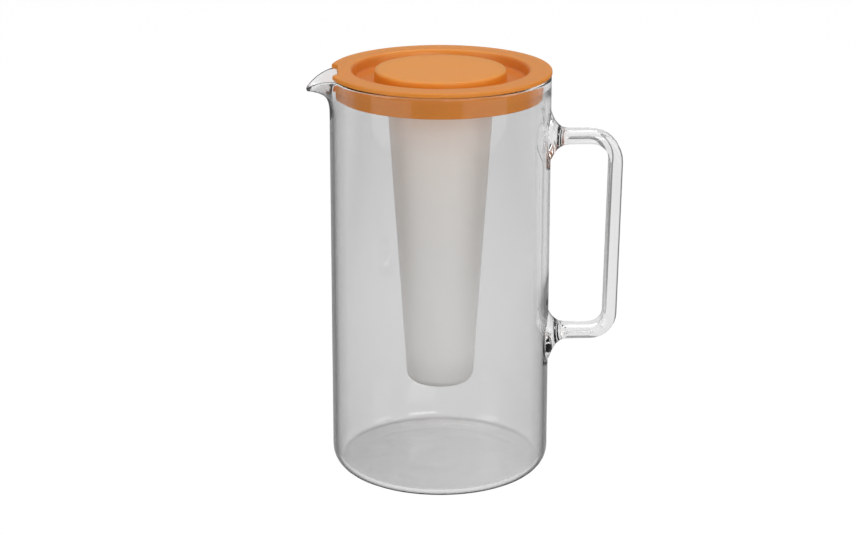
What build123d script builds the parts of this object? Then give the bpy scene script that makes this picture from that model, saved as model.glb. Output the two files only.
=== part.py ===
from build123d import *
from math import cos, radians, sin, tan
import os

# A glass jug whose plastic lid carries a frosted tube of ice down into the drink.
# Millimetres. The origin is on the jug's axis at its base, +Z is up,
# the pouring spout points to -X and the handle to +X.

# Glass jug
body_radius = 65.0
body_wall = 3.0
rim_height = 242.8
floor_thickness = 3.0
base_corner_radius = 13.0
floor_corner_radius = 10.0
floor_middle_radius = 30.0

# Pulled spout: the part of the wall that is drawn outward, and how far
spout_half_angle = 24.0
spout_worked_height = 29.0
spout_reach = 13.3
spout_droop = 7.6
lip_thickness = 2.9
# Degrees that the lip's edge leans outward at the tip
lip_lean = 62.0

# Handle: a flat oval glass rod bent to a loop, with a flared foot at each end
rod_thickness = 7.8
rod_width = 16.0
# The upper bar hangs below the rim by this, the lower one stands above the table
upper_bar_drop = 38.5
lower_bar_height = 83.7
# From the glass wall to the inside of the grip, at the upper and the lower bend
grip_gap_top = 35.4
grip_gap_bottom = 33.0
upper_bend_radius = 15.0
lower_bend_radius = 12.0
foot_length = 12.0
foot_spread = 17.0
# Each foot flares less on the side towards the grip gap, by this share
foot_gap_side_share = 0.74

# Lid: one moulding with a rim flange, a finger groove and a raised hollow centre
lid_wall = 2.5
flange_thickness = 2.9
flange_overhang = 0.4
lid_seat_gap = 0.3
skirt_depth = 13.3
skirt_side_clearance = 0.5
skirt_draft = 1.8
rim_band_width = 13.4
groove_width = 13.3
groove_depth = 7.0
groove_slope = 1.6
collar_depth = 6.5
soft_edge = 0.9
rim_edge_radius = 1.2
centre_edge_radius = 1.7
groove_rounding = 2.4

# Pouring notch through the flange and the skirt, wider at its mouth
notch_half_width = 11.5
notch_side_angle = 56.0
notch_depth = 5.4
notch_corner_radius = 1.4
skirt_relief_margin = 1.4

# Ice core: a tapered tube with a wider neck that screws into the lid's centre.
# The neck steps out from the tube's top, and the tube tapers in towards its bottom.
core_bottom_height = 54.3
neck_step = 4.8
core_taper = 11.4
core_wall = 2.2
core_corner_radius = 5.8
core_shoulder_height = 5.0
neck_wall = 2.5
neck_clearance = 0.3
neck_corner_radius = 0.5

# Flat sealing washer between the neck's rim and the lid
seal_thickness = 1.5

# Cuts run past the faces that they cut by this much
overrun = 5.0

# Sizes that follow from the ones above
inner_radius = body_radius - body_wall
rim_round = body_wall / 2
upper_bar_height = rim_height - upper_bar_drop
grip_reach_top = body_radius + grip_gap_top + rod_thickness / 2
grip_reach_bottom = body_radius + grip_gap_bottom + rod_thickness / 2
flange_bottom = rim_height + lid_seat_gap
flange_top = flange_bottom + flange_thickness
flange_radius = body_radius + flange_overhang
skirt_top_radius = inner_radius - skirt_side_clearance
skirt_bottom_radius = skirt_top_radius - skirt_draft
skirt_bottom = flange_bottom - skirt_depth
groove_outer_radius = flange_radius - rim_band_width
centre_radius = groove_outer_radius - groove_width
groove_floor = flange_top - groove_depth
groove_underside = groove_floor - lid_wall
groove_floor_radius = groove_outer_radius - groove_slope
collar_radius = centre_radius - lid_wall
collar_bottom = groove_underside - collar_depth
centre_ceiling = flange_top - lid_wall
neck_radius = collar_radius - neck_clearance
neck_top = centre_ceiling - seal_thickness
shoulder_bottom = collar_bottom - core_shoulder_height
neck_joint_height = shoulder_bottom - core_corner_radius
core_top_radius = neck_radius - neck_step
core_bottom_radius = core_top_radius - core_taper

# The wall of the spout, from the edge of the worked part to the lip, as pairs
# of shares: how far outward of the plain wall, of the spout's reach, and how
# high above the bottom of the worked part, of its height.
plain_height_shares = (0.0, 0.22, 0.42, 0.6, 0.79)
outer_flare_shares = ((0.0, 0.0), (0.0, 0.22), (0.05, 0.43), (0.2, 0.565), (0.5, 0.635))
inner_flare_shares = ((0.0, 0.0), (0.01, 0.23), (0.12, 0.46), (0.33, 0.6), (0.66, 0.695))

# Around the spout, from one side of it to the other: where each section
# stands and how far its lip reaches. The lip droops by the square of that reach.
section_angle_shares = (-1.0, -0.8, -0.6, -0.4, -0.2, 0.0, 0.2, 0.4, 0.6, 0.8, 1.0)
section_reach_shares = (0.0, 0.08, 0.31, 0.58, 0.86, 1.0, 0.86, 0.58, 0.31, 0.08, 0.0)

# A handle foot from the wall out to the rod: distance along the foot, and its
# half height and half width above those of the rod, of the foot's spread.
foot_station_shares = (-0.58, -0.25, 0.0, 0.17, 0.37, 0.63, 1.0)
foot_height_shares = (1.08, 0.93, 0.72, 0.43, 0.2, 0.05, 0.0)
foot_width_shares = (0.86, 0.71, 0.51, 0.31, 0.15, 0.04, 0.0)


def spout_section(reach_share):
    """The eleven points of the spout's wall where its lip reaches out by this share."""
    bottom = rim_height - spout_worked_height
    drop = spout_droop * reach_share**2
    outer = []
    inner = []
    for plain, (out, up), (in_out, in_up) in zip(
        plain_height_shares, outer_flare_shares, inner_flare_shares
    ):
        straight = plain * spout_worked_height * (1 - reach_share)
        outer.append(
            (
                body_radius + out * spout_reach * reach_share,
                bottom + straight + up * spout_worked_height * reach_share,
            )
        )
        inner.append(
            (
                inner_radius + in_out * spout_reach * reach_share,
                bottom + straight + in_up * spout_worked_height * reach_share,
            )
        )
    # The lip's edge stands upright on the plain wall and leans out at the tip
    lean = radians(lip_lean) * reach_share
    half_lip = rim_round + (lip_thickness / 2 - rim_round) * reach_share
    tip = (
        body_radius - rim_round + (spout_reach + rim_round) * reach_share,
        rim_height - drop,
    )
    middle = (tip[0] - half_lip * sin(lean), tip[1] - half_lip * cos(lean))
    outer.append(
        (middle[0] + half_lip * cos(lean), middle[1] - half_lip * sin(lean))
    )
    inner.append(
        (middle[0] - half_lip * cos(lean), middle[1] + half_lip * sin(lean))
    )
    return outer, tip, inner


def wall_plane(turn):
    """The plane through the jug's axis at this angle from -X, with x outward and y up."""
    outward = Vector(-cos(turn), sin(turn), 0)
    return Plane(
        origin=(0, 0, 0), x_dir=outward, z_dir=outward.cross(Vector(0, 0, 1))
    )


# Blown glass body: the plain wall turned about the axis from one side of the
# spout round to the other, and the spout's sector lofted between them
half_sector = radians(spout_half_angle)
spout_bottom = rim_height - spout_worked_height
with BuildPart() as glass_body:
    Cylinder(
        floor_middle_radius,
        floor_thickness,
        align=(Align.CENTER, Align.CENTER, Align.MIN),
    )
    with BuildSketch(wall_plane(half_sector)):
        with BuildLine():
            outer_side = FilletPolyline(
                (0, 0),
                (body_radius, 0),
                (body_radius, rim_height - rim_round),
                radius=[base_corner_radius],
            )
            rim_edge = ThreePointArc(
                outer_side @ 1,
                (body_radius - rim_round, rim_height),
                (inner_radius, rim_height - rim_round),
            )
            inner_side = FilletPolyline(
                rim_edge @ 1,
                (inner_radius, floor_thickness),
                (0, floor_thickness),
                radius=[floor_corner_radius],
            )
            Line(inner_side @ 1, (0, 0))
        make_face()
    revolve(axis=Axis.Z, revolution_arc=-360 + 2 * spout_half_angle)
    # Sections of floor, wall and lip on planes through the axis, around the spout
    for angle_share, reach_share in zip(section_angle_shares, section_reach_shares):
        outer, tip, inner = spout_section(reach_share)
        with BuildSketch(wall_plane(angle_share * half_sector)):
            with BuildLine():
                FilletPolyline(
                    (floor_middle_radius / 2, 0),
                    (body_radius, 0),
                    outer[0],
                    radius=[base_corner_radius],
                )
                Spline(*outer)
                ThreePointArc(outer[-1], tip, inner[-1])
                Spline(*reversed(inner))
                FilletPolyline(
                    inner[0],
                    (inner_radius, floor_thickness),
                    (floor_middle_radius / 2, floor_thickness),
                    radius=[floor_corner_radius],
                )
                Line(
                    (floor_middle_radius / 2, floor_thickness),
                    (floor_middle_radius / 2, 0),
                )
            make_face()
    loft()
glass_body.part.label = "glass_body"

# Handle: the bent rod, then a flared foot at each end, trimmed to the glass wall
rod_start = body_radius + foot_length
with BuildPart() as handle:
    with BuildLine(Plane.XZ) as rod_path:
        FilletPolyline(
            (rod_start, upper_bar_height),
            (grip_reach_top, upper_bar_height),
            (grip_reach_bottom, lower_bar_height),
            (rod_start, lower_bar_height),
            radius=[upper_bend_radius, lower_bend_radius],
        )
    with BuildSketch(Plane.YZ.offset(rod_start)):
        with Locations((0, upper_bar_height)):
            SlotOverall(rod_width, rod_thickness)
    sweep()
    for bar_height, outer_side in ((upper_bar_height, 1), (lower_bar_height, -1)):
        for station, taller, wider in zip(
            foot_station_shares, foot_height_shares, foot_width_shares
        ):
            outer_flare = taller * foot_spread
            gap_flare = outer_flare * foot_gap_side_share
            with BuildSketch(Plane.YZ.offset(body_radius + station * foot_length)):
                with Locations(
                    (0, bar_height + outer_side * (outer_flare - gap_flare) / 2)
                ):
                    SlotOverall(
                        rod_width + 2 * wider * foot_spread,
                        rod_thickness + outer_flare + gap_flare,
                    )
        loft()
    with BuildSketch():
        Circle(body_radius)
    extrude(amount=rim_height, mode=Mode.SUBTRACT)
handle.part.label = "handle"

# Lid: the moulding's section turned about the axis, then the notch cut through it
with BuildPart() as lid:
    with BuildSketch(Plane.XZ):
        with BuildLine():
            FilletPolyline(
                (0, flange_top),
                (centre_radius, flange_top),
                (centre_radius, groove_floor),
                (groove_floor_radius, groove_floor),
                (groove_outer_radius, flange_top),
                (flange_radius, flange_top),
                (flange_radius, flange_bottom),
                (skirt_top_radius, flange_bottom),
                (skirt_bottom_radius, skirt_bottom),
                (skirt_bottom_radius - lid_wall, skirt_bottom),
                (skirt_top_radius - lid_wall, flange_bottom),
                (groove_outer_radius + lid_wall, flange_bottom),
                (groove_floor_radius + lid_wall, groove_underside),
                (centre_radius, groove_underside),
                (centre_radius, collar_bottom),
                (collar_radius, collar_bottom),
                (collar_radius, centre_ceiling),
                (0, centre_ceiling),
                radius=[
                    0,
                    centre_edge_radius,
                    soft_edge,
                    groove_rounding,
                    groove_rounding,
                    rim_edge_radius,
                    soft_edge,
                    0,
                    soft_edge,
                    soft_edge,
                    0,
                    0,
                    soft_edge,
                    0,
                    0,
                    0,
                    0,
                    0,
                ],
                close=True,
            )
        make_face()
    revolve(axis=Axis.Z)
    # Notch in the flange, with rounded inner corners, and relief in the skirt
    notch_floor = flange_radius - notch_depth
    notch_reach = notch_depth + overrun
    far_half_width = notch_half_width + tan(radians(notch_side_angle)) * notch_reach
    with BuildSketch(Plane.XY.offset(flange_bottom - soft_edge)):
        with BuildLine():
            FilletPolyline(
                (-notch_floor - notch_reach, -far_half_width),
                (-notch_floor, -notch_half_width),
                (-notch_floor, notch_half_width),
                (-notch_floor - notch_reach, far_half_width),
                radius=[0, notch_corner_radius, notch_corner_radius, 0],
                close=True,
            )
        make_face()
    extrude(amount=flange_thickness + overrun, mode=Mode.SUBTRACT)
    relief_length = skirt_draft + lid_wall + skirt_relief_margin + overrun
    with BuildSketch(Plane.XY.offset(flange_bottom)):
        with Locations((-skirt_top_radius - overrun, 0)):
            Rectangle(
                relief_length,
                2 * notch_half_width,
                align=(Align.MIN, Align.CENTER),
            )
    extrude(amount=-(skirt_depth + overrun), mode=Mode.SUBTRACT)
lid.part.label = "lid"

# Ice core: turned whole, from the tube's rounded bottom to the stepped neck, then
# parted across the straight wall under the neck into the tube and its neck
core_inner_top = core_top_radius - core_wall
with BuildPart() as core_whole:
    with BuildSketch(Plane.XZ):
        with BuildLine():
            FilletPolyline(
                (0, core_bottom_height),
                (core_bottom_radius, core_bottom_height),
                (core_top_radius, shoulder_bottom),
                (neck_radius, collar_bottom),
                (neck_radius, neck_top),
                (neck_radius - neck_wall, neck_top),
                (neck_radius - neck_wall, collar_bottom),
                (core_inner_top, shoulder_bottom),
                (core_bottom_radius - core_wall, core_bottom_height + core_wall),
                (0, core_bottom_height + core_wall),
                radius=[
                    0,
                    core_corner_radius,
                    core_corner_radius,
                    core_corner_radius - core_wall,
                    neck_corner_radius,
                    neck_corner_radius,
                    core_corner_radius - core_wall,
                    core_corner_radius,
                    core_corner_radius - core_wall,
                    0,
                ],
                close=True,
            )
        make_face()
    revolve(axis=Axis.Z)
neck_joint = Plane.XY.offset(neck_joint_height)
with BuildPart() as core_tube:
    add(core_whole.part)
    split(bisect_by=neck_joint, keep=Keep.BOTTOM)
core_tube.part.label = "core_tube"
with BuildPart() as core_neck:
    add(core_whole.part)
    split(bisect_by=neck_joint, keep=Keep.TOP)
core_neck.part.label = "core_neck"

# Sealing washer, as wide as the neck's rim
with BuildPart() as core_seal:
    with BuildSketch(Plane.XY.offset(neck_top)):
        Circle(neck_radius)
        Circle(neck_radius - neck_wall, mode=Mode.SUBTRACT)
    extrude(amount=seal_thickness)
core_seal.part.label = "core_seal"

os.makedirs("parts", exist_ok=True)
export_step(glass_body.part, "parts/glass_body.step")
export_step(handle.part, "parts/handle.step")
export_step(lid.part, "parts/lid.step")
export_step(core_tube.part, "parts/core_tube.step")
export_step(core_neck.part, "parts/core_neck.step")
export_step(core_seal.part, "parts/core_seal.step")
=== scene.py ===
"""A glass pitcher with a pulled spout, an orange lid and a frosted tube of ice hanging in it."""

import logging
import math
from dataclasses import dataclass, field
from enum import Enum
from typing import Callable, Optional, Sequence

import bmesh
import bpy
import numpy as np
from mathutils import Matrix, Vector

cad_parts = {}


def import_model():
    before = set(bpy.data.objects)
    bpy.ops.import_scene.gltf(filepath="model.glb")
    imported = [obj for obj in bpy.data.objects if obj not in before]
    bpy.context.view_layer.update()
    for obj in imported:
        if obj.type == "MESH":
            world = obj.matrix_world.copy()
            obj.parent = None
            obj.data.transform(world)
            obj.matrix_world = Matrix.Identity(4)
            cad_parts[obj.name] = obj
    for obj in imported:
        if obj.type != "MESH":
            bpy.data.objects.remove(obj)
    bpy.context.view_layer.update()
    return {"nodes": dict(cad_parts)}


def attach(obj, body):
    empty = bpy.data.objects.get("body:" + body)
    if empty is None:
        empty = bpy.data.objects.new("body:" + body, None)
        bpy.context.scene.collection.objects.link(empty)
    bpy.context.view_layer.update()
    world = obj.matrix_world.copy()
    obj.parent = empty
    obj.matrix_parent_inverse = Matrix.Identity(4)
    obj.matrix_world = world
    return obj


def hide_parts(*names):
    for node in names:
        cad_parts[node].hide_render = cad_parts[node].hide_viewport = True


log = logging.getLogger("pitcher")

MM = 0.001
Point = tuple[float, float]
Colour = tuple[float, float, float, float]


# ---------------------------------------------------------------- shapes


def natural_curve(points: Sequence[Point], samples: int) -> list[Point]:
    """A smooth curve through points, free of bending at its two ends.

    Args:
        points: The points that the curve passes through, in order.
        samples: How many points to return, the two ends among them.

    Returns:
        Points evenly spaced along the chord length.
    """
    given = np.array(points, float)
    steps = np.linalg.norm(np.diff(given, axis=0), axis=1)
    places = np.concatenate([[0.0], np.cumsum(steps)])
    count = len(given)
    system = np.zeros((count, count))
    right = np.zeros_like(given)
    system[0, 0] = system[-1, -1] = 1.0
    for i in range(1, count - 1):
        before, after = steps[i - 1], steps[i]
        system[i, i - 1 : i + 2] = before, 2 * (before + after), after
        right[i] = 6 * (
            (given[i + 1] - given[i]) / after - (given[i] - given[i - 1]) / before
        )
    bends = np.linalg.solve(system, right)
    curve = []
    for place in np.linspace(0, places[-1], samples):
        i = min(int(np.searchsorted(places, place, side="right")) - 1, count - 2)
        step = steps[i]
        a = (places[i + 1] - place) / step
        b = (place - places[i]) / step
        point = (
            a * given[i]
            + b * given[i + 1]
            + ((a**3 - a) * bends[i] + (b**3 - b) * bends[i + 1]) * step**2 / 6
        )
        curve.append((float(point[0]), float(point[1])))
    return curve


def rounded_outline(
    corners: Sequence[tuple[float, float, float]], closed: bool = False
) -> list[Point]:
    """An outline of straight runs with an arc at each corner that has a radius.

    Args:
        corners: Each corner's x, y and radius, in order.
        closed: Whether the last corner joins back to the first.

    Returns:
        The outline's points, with arcs of about 12 degrees a step.
    """
    outline: list[Point] = []
    count = len(corners)
    for i, (x, y, radius) in enumerate(corners):
        if radius <= 0 or (not closed and i in (0, count - 1)):
            outline.append((x, y))
            continue
        here = Vector((x, y))
        back = (Vector(corners[i - 1][:2]) - here).normalized()
        ahead = (Vector(corners[(i + 1) % count][:2]) - here).normalized()
        opening = back.angle(ahead)
        reach = radius / math.tan(opening / 2)
        middle = here + (back + ahead).normalized() * (radius / math.sin(opening / 2))
        first = here + back * reach - middle
        turn = math.pi - opening
        if back.cross(ahead) > 0:
            turn = -turn
        pieces = max(2, math.ceil(abs(turn) / math.radians(12)))
        for k in range(pieces + 1):
            angle = turn * k / pieces
            spun = Vector(
                (
                    first.x * math.cos(angle) - first.y * math.sin(angle),
                    first.x * math.sin(angle) + first.y * math.cos(angle),
                )
            )
            outline.append((middle.x + spun.x, middle.y + spun.y))
    return outline


def filled_in(outline: Sequence[Point], longest: float) -> list[Point]:
    """The outline with extra points on every run longer than longest."""
    full = [outline[0]]
    for start, end in zip(outline, outline[1:]):
        length = math.dist(start, end)
        pieces = max(1, math.ceil(length / longest))
        for k in range(1, pieces + 1):
            share = k / pieces
            full.append(
                (
                    start[0] + (end[0] - start[0]) * share,
                    start[1] + (end[1] - start[1]) * share,
                )
            )
    return full


class Ends(Enum):
    """How the two ends of a row of rings are finished."""

    POLES = "a point on the axis at each end"
    CLOSED = "the last ring joins the first"


@dataclass
class MeshMaker:
    """Gathers vertices in millimetres and faces, and makes a smooth object of them.

    Args:
        name: The piece's name.
        sharp_angle: Edges that turn by more than this many degrees stay crisp.
    """

    name: str
    sharp_angle: float = 40.0
    verts: list[tuple[float, float, float]] = field(default_factory=list)
    faces: list[tuple[int, ...]] = field(default_factory=list)

    def ring(self, points: Sequence[tuple[float, float, float]]) -> list[int]:
        """Adds points and returns their indices."""
        start = len(self.verts)
        self.verts.extend(points)
        return list(range(start, start + len(points)))

    def bridge(self, first: list[int], second: list[int]) -> None:
        """Joins two rings of the same length, or a ring and a single point, by faces."""
        if len(first) == 1:
            first = first * len(second)
        if len(second) == 1:
            second = second * len(first)
        for i in range(len(first)):
            j = (i + 1) % len(first)
            corners = (first[i], first[j], second[j], second[i])
            face = tuple(dict.fromkeys(corners))
            if len(face) > 2:
                self.faces.append(face)

    def cap(self, ring: list[int]) -> None:
        """Closes a ring with one point in its middle."""
        middle = tuple(
            sum(self.verts[i][axis] for i in ring) / len(ring) for axis in range(3)
        )
        self.bridge(self.ring([middle]), ring)

    def turned(
        self,
        column: Callable[[float], list[Point]],
        segments: int,
        ends: Ends = Ends.POLES,
    ) -> None:
        """Turns a profile about the axis, with a profile of its own at each angle.

        Args:
            column: Gives the profile's points, radius and height, for an angle.
            segments: How many columns go round.
            ends: Whether the profile ends on the axis or closes on itself.
        """
        rings: list[list[tuple[float, float, float]]] = []
        for k in range(segments):
            angle = 2 * math.pi * k / segments
            profile = column(angle)
            if not rings:
                rings = [[] for _ in profile]
            for row, (radius, height) in zip(rings, profile):
                row.append(
                    (-radius * math.cos(angle), radius * math.sin(angle), height)
                )
        indices = [
            self.ring(row if math.hypot(*row[0][:2]) > 1e-6 else row[:1])
            for row in rings
        ]
        for first, second in zip(indices, indices[1:]):
            self.bridge(first, second)
        if ends is Ends.CLOSED:
            self.bridge(indices[-1], indices[0])

    def build(self) -> bpy.types.Object:
        """Makes the object, in metres, with its faces pointing outward."""
        mesh = bpy.data.meshes.new(self.name)
        mesh.from_pydata(
            [tuple(MM * value for value in vert) for vert in self.verts],
            [],
            self.faces,
        )
        tidy = bmesh.new()
        tidy.from_mesh(mesh)
        bmesh.ops.recalc_face_normals(tidy, faces=tidy.faces)
        if tidy.calc_volume(signed=True) < 0:
            bmesh.ops.reverse_faces(tidy, faces=tidy.faces)
        tidy.to_mesh(mesh)
        tidy.free()
        piece = bpy.data.objects.new(self.name, mesh)
        bpy.context.scene.collection.objects.link(piece)
        smooth_over(piece, self.sharp_angle)
        return piece


def smooth_over(piece: bpy.types.Object, sharp_angle: float) -> None:
    """Shades a piece smooth, with crisp edges above an angle in degrees."""
    piece.data.shade_smooth()
    piece.data.set_sharp_from_angle(angle=math.radians(sharp_angle))


def combined(
    piece: bpy.types.Object, tool: bpy.types.Object, operation: str, sharp_angle: float
) -> None:
    """Applies an exact boolean of tool to piece and removes tool.

    Args:
        piece: The object that keeps the result.
        tool: The object that is added or taken away.
        operation: UNION or DIFFERENCE.
        sharp_angle: As for smooth_over, on the result.
    """
    step = piece.modifiers.new("combined", "BOOLEAN")
    step.operation = operation
    step.solver = "EXACT"
    step.object = tool
    bpy.context.view_layer.update()
    graph = bpy.context.evaluated_depsgraph_get()
    result = bpy.data.meshes.new_from_object(piece.evaluated_get(graph))
    result.name = piece.name
    piece.modifiers.clear()
    piece.data = result
    bpy.data.objects.remove(tool)
    smooth_over(piece, sharp_angle)


# ---------------------------------------------------------------- finishes


@dataclass
class NodeBoard:
    """A small helper that places and links shader nodes in one tree.

    Args:
        tree: The node tree that the nodes go into.
    """

    tree: bpy.types.NodeTree

    def add(self, kind: str, **settings: object) -> bpy.types.Node:
        """Adds a node of this kind and sets its properties."""
        node = self.tree.nodes.new(kind)
        for name, value in settings.items():
            setattr(node, name, value)
        return node

    def link(
        self, source: bpy.types.NodeSocket, target: bpy.types.NodeSocket
    ) -> None:
        """Links two sockets."""
        self.tree.links.new(source, target)

    def math(
        self, operation: str, first: object, second: object = 0.0
    ) -> bpy.types.NodeSocket:
        """A math node on two sockets or numbers, and returns its value socket."""
        node = self.add("ShaderNodeMath", operation=operation)
        for socket, value in zip(node.inputs, (first, second)):
            if isinstance(value, bpy.types.NodeSocket):
                self.link(value, socket)
            else:
                socket.default_value = value
        return node.outputs[0]

    def fade(
        self, value: bpy.types.NodeSocket, start: float, end: float
    ) -> bpy.types.NodeSocket:
        """A smooth rise from 0 at start to 1 at end, of a value socket."""
        node = self.add("ShaderNodeMapRange", interpolation_type="SMOOTHSTEP")
        self.link(value, node.inputs["Value"])
        node.inputs["From Min"].default_value = start
        node.inputs["From Max"].default_value = end
        return node.outputs["Result"]

    def mixed(
        self, share: object, first: object, second: object, blend: str = "MIX"
    ) -> bpy.types.NodeSocket:
        """A mix of two colours, given as sockets or values, by a share."""
        node = self.add("ShaderNodeMix", data_type="RGBA", blend_type=blend)
        colours = [s for s in node.inputs if s.type == "RGBA"]
        for socket, value in zip((node.inputs[0], *colours), (share, first, second)):
            if isinstance(value, bpy.types.NodeSocket):
                self.link(value, socket)
            else:
                socket.default_value = value
        return next(s for s in node.outputs if s.type == "RGBA")

    def place(self) -> tuple[bpy.types.NodeSocket, ...]:
        """The shaded point's own x, y and z in the object, in metres."""
        coordinates = self.add("ShaderNodeTexCoord")
        parts = self.add("ShaderNodeSeparateXYZ")
        self.link(coordinates.outputs["Object"], parts.inputs[0])
        return tuple(parts.outputs)


def new_group(
    name: str,
    inputs: Sequence[tuple[str, str, float]],
    outputs: Sequence[tuple[str, str]],
) -> tuple[NodeBoard, bpy.types.Node, bpy.types.Node]:
    """An empty shader node group with named sockets.

    Args:
        name: The group's name.
        inputs: Each input's name, socket kind and default value.
        outputs: Each output's name and socket kind.

    Returns:
        The group's board, its input node and its output node.
    """
    tree = bpy.data.node_groups.new(name, "ShaderNodeTree")
    for label, kind, value in inputs:
        socket = tree.interface.new_socket(label, in_out="INPUT", socket_type=kind)
        if kind == "NodeSocketFloat":
            socket.default_value = value
    for label, kind in outputs:
        tree.interface.new_socket(label, in_out="OUTPUT", socket_type=kind)
    board = NodeBoard(tree)
    return board, board.add("NodeGroupInput"), board.add("NodeGroupOutput")


class Effects:
    """The node groups that several finishes share, each built once."""

    def __init__(self) -> None:
        """Builds the groups."""
        self.moulding_grain = self._moulding_grain()
        self.handling_marks = self._handling_marks()

    @staticmethod
    def _moulding_grain() -> bpy.types.NodeTree:
        """The fine even texture that a spark-eroded mould leaves on plastic."""
        board, given, result = new_group(
            "moulding grain",
            [
                ("Grains per metre", "NodeSocketFloat", 4000.0),
                ("Depth", "NodeSocketFloat", 1.0),
            ],
            [("Height", "NodeSocketFloat")],
        )
        place = board.add("ShaderNodeTexCoord")
        noise = board.add("ShaderNodeTexNoise")
        noise.inputs["Detail"].default_value = 3.0
        noise.inputs["Roughness"].default_value = 0.65
        board.link(place.outputs["Object"], noise.inputs["Vector"])
        board.link(given.outputs["Grains per metre"], noise.inputs["Scale"])
        height = board.math(
            "MULTIPLY", noise.outputs["Fac"], given.outputs["Depth"]
        )
        board.link(height, result.inputs["Height"])
        return board.tree

    @staticmethod
    def _handling_marks() -> bpy.types.NodeTree:
        """Faint uneven patches where a surface is touched and wiped."""
        board, given, result = new_group(
            "handling marks",
            [
                ("Base", "NodeSocketFloat", 0.3),
                ("Spread", "NodeSocketFloat", 0.1),
                ("Patches per metre", "NodeSocketFloat", 30.0),
            ],
            [("Roughness", "NodeSocketFloat"), ("Mask", "NodeSocketFloat")],
        )
        place = board.add("ShaderNodeTexCoord")
        noise = board.add("ShaderNodeTexNoise")
        noise.inputs["Detail"].default_value = 4.0
        noise.inputs["Distortion"].default_value = 0.6
        board.link(place.outputs["Object"], noise.inputs["Vector"])
        board.link(given.outputs["Patches per metre"], noise.inputs["Scale"])
        centred = board.math("SUBTRACT", noise.outputs["Fac"], 0.5)
        spread = board.math("MULTIPLY", centred, given.outputs["Spread"])
        board.link(
            board.math("ADD", spread, given.outputs["Base"]),
            result.inputs["Roughness"],
        )
        board.link(noise.outputs["Fac"], result.inputs["Mask"])
        return board.tree


def new_material(name: str) -> tuple[NodeBoard, bpy.types.Material]:
    """An empty node material and the board of its tree."""
    material = bpy.data.materials.new(name)
    material.use_nodes = True
    material.node_tree.nodes.clear()
    return NodeBoard(material.node_tree), material


@dataclass(frozen=True)
class ClearGlass:
    """Polished blown glass, its own grey darkened where rays meet it at a slant: painted dark
    edge shade standing in for the dark surroundings seen through its edges.

    Args:
        name: The material's name.
        slants: Facing values, rising, each with the grey there: the glass's own grey, and
            painted dark edge shade at a slant.
        ior: Index of refraction.
        ripple: Height of the faint waves of blown glass, in metres.
        transmission: Share of light that passes into the glass.
        roughness: How far it is from polished.
    """

    name: str = "clear_glass"
    slants: tuple[tuple[float, float], ...] = (
        (0.0, 0.82),
        (0.22, 0.755),
        (0.49, 0.68),
        (0.6, 0.5),
        (0.65, 0.4),
        (0.7, 0.18),
        (0.75, 0.05),
        (0.81, 0.09),
        (0.9, 0.25),
        (0.97, 0.6),
    )
    ior: float = 1.47
    ripple: float = 0.00002
    transmission: float = 1.0
    roughness: float = 0.0

    def slant(self, board: NodeBoard) -> bpy.types.NodeSocket:
        """How slanted the light is where it enters the glass, from 0 to 1."""
        facing = board.add("ShaderNodeLayerWeight")
        facing.inputs["Blend"].default_value = 0.5
        side = board.add("ShaderNodeNewGeometry")
        entering = board.math("SUBTRACT", 1.0, side.outputs["Backfacing"])
        return board.math("MULTIPLY", facing.outputs["Facing"], entering)

    def tint(self, board: NodeBoard) -> bpy.types.NodeSocket:
        """The glass's colour with its painted dark edge shade, by the slant of the light."""
        # Painted shade: the ramp darkens the glass into dark bands at a slant
        ramp = board.add("ShaderNodeValToRGB")
        stops = ramp.color_ramp.elements
        while len(stops) < len(self.slants):
            stops.new(0.5)
        for stop, (place, grey) in zip(stops, self.slants):
            stop.position = place
            stop.color = (grey, grey, grey, 1.0)
        board.link(self.slant(board), ramp.inputs["Fac"])
        return ramp.outputs["Color"]

    def material(self, effects: Effects) -> bpy.types.Material:
        """Builds the material.

        Args:
            effects: The shared node groups.

        Returns:
            The material.
        """
        board, material = new_material(self.name)
        glass = board.add("ShaderNodeBsdfPrincipled")
        glass.inputs["Metallic"].default_value = 0.0
        glass.inputs["Roughness"].default_value = self.roughness
        glass.inputs["IOR"].default_value = self.ior
        glass.inputs["Transmission Weight"].default_value = self.transmission
        board.link(self.tint(board), glass.inputs["Base Color"])
        place = board.add("ShaderNodeTexCoord")
        waves = board.add("ShaderNodeTexNoise")
        waves.inputs["Scale"].default_value = 14.0
        waves.inputs["Detail"].default_value = 1.0
        bump = board.add("ShaderNodeBump")
        bump.inputs["Strength"].default_value = 1.0
        bump.inputs["Distance"].default_value = self.ripple
        board.link(place.outputs["Object"], waves.inputs["Vector"])
        board.link(waves.outputs["Fac"], bump.inputs["Height"])
        board.link(bump.outputs["Normal"], glass.inputs["Normal"])
        # Lamps reach the lid's skirt and the tube through the glass
        path = board.add("ShaderNodeLightPath")
        clear = board.add("ShaderNodeBsdfTransparent")
        clear.inputs["Color"].default_value = (0.97, 0.972, 0.972, 1.0)
        mix = board.add("ShaderNodeMixShader")
        board.link(path.outputs["Is Shadow Ray"], mix.inputs["Fac"])
        board.link(glass.outputs["BSDF"], mix.inputs[1])
        board.link(clear.outputs["BSDF"], mix.inputs[2])
        output = board.add("ShaderNodeOutputMaterial")
        board.link(mix.outputs["Shader"], output.inputs["Surface"])
        return material


@dataclass(frozen=True)
class WallGlass(ClearGlass):
    """The wall's outer face, whose painted dark edge shade fades out behind the handle's upper
    part.
    """

    def slant(self, board: NodeBoard) -> bpy.types.NodeSocket:
        """As for clear glass, with most of the painted edge shade taken away beside the handle.
        """
        x, _, z = board.place()
        beside = board.math("MULTIPLY", board.fade(x, 0.03, 0.055), board.fade(z, 0.115, 0.14))
        beside = board.math("MULTIPLY", beside, board.fade(z, 0.236, 0.224))
        edge_shade_kept = board.math("SUBTRACT", 1.0, board.math("MULTIPLY", beside, 0.75))
        return board.math("MULTIPLY", super().slant(board), edge_shade_kept)


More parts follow.
